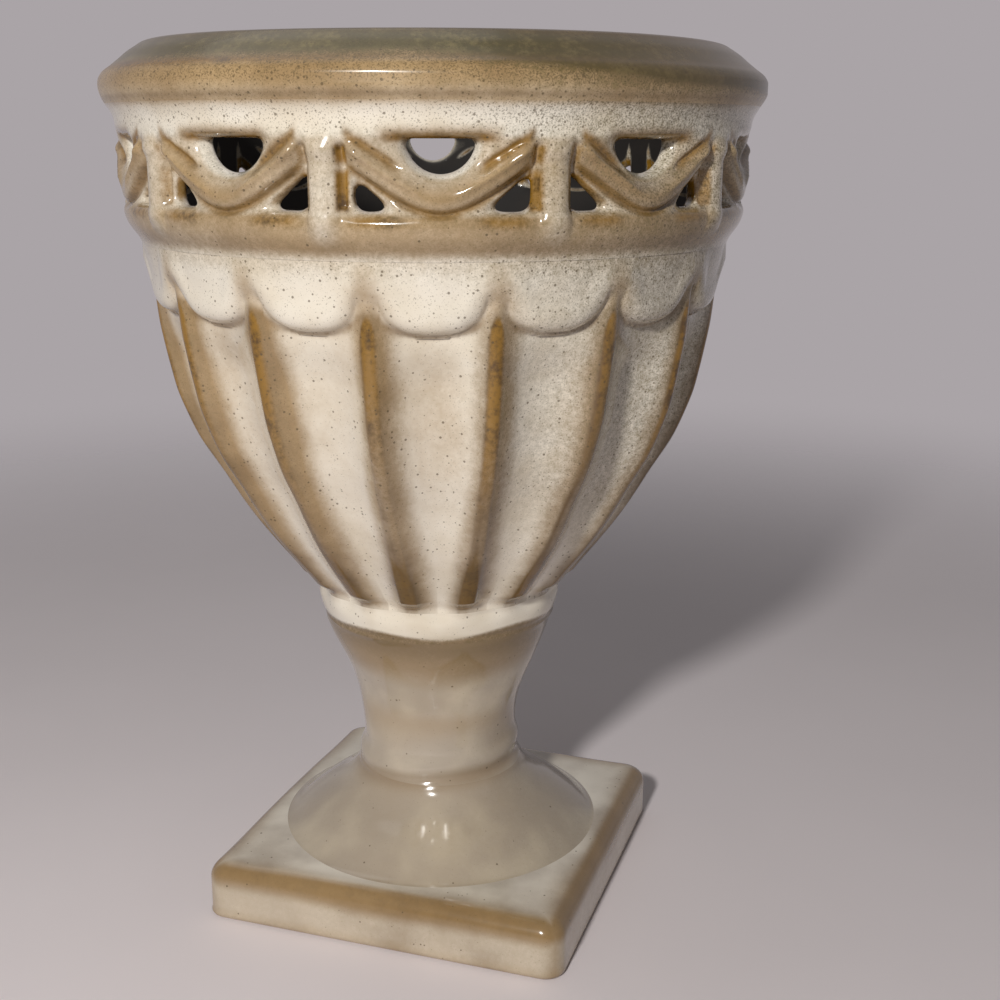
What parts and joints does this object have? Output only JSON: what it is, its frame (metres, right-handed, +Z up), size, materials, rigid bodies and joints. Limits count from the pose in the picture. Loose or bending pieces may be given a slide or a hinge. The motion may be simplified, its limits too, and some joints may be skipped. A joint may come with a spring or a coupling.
{
  "type": "footed urn vase",
  "caption": "Glazed ceramic urn vase: fluted bowl on a stem and square plinth, with a pierced gallery of posts and swags under a rolled rim.",
  "frame": {"origin": "centre of the underside of the square plinth, on the table", "axes": "+Z up along the vase's axis, +X and +Y square to the plinth's sides"},
  "size_m": [0.15, 0.15, 0.205],
  "materials": {
    "cream_glaze": "glossy",
    "tan_glaze": "glossy",
    "olive_glaze": "glossy",
    "foot_glaze": "glossy",
    "plinth_glaze": "glossy"
  },
  "bodies": {
    "root": {"bowl": "cream_glaze", "collar": "cream_glaze", "foot_flare": "foot_glaze", "gallery_belt": "tan_glaze", "gallery_post_01": "tan_glaze", "gallery_post_02": "tan_glaze", "gallery_post_03": "tan_glaze", "gallery_post_04": "tan_glaze", "gallery_post_05": "tan_glaze", "gallery_post_06": "tan_glaze", "gallery_post_07": "tan_glaze", "gallery_post_08": "tan_glaze", "gallery_post_09": "tan_glaze", "gallery_post_10": "tan_glaze", "gallery_swag_01": "tan_glaze", "gallery_swag_02": "tan_glaze", "gallery_swag_03": "tan_glaze", "gallery_swag_04": "tan_glaze", "gallery_swag_05": "tan_glaze", "gallery_swag_06": "tan_glaze", "gallery_swag_07": "tan_glaze", "gallery_swag_08": "tan_glaze", "gallery_swag_09": "tan_glaze", "gallery_swag_10": "tan_glaze", "plinth": "plinth_glaze", "rim_cove": "cream_glaze", "rim_lip": "olive_glaze", "stem": "foot_glaze"}
  },
  "joints": []
}
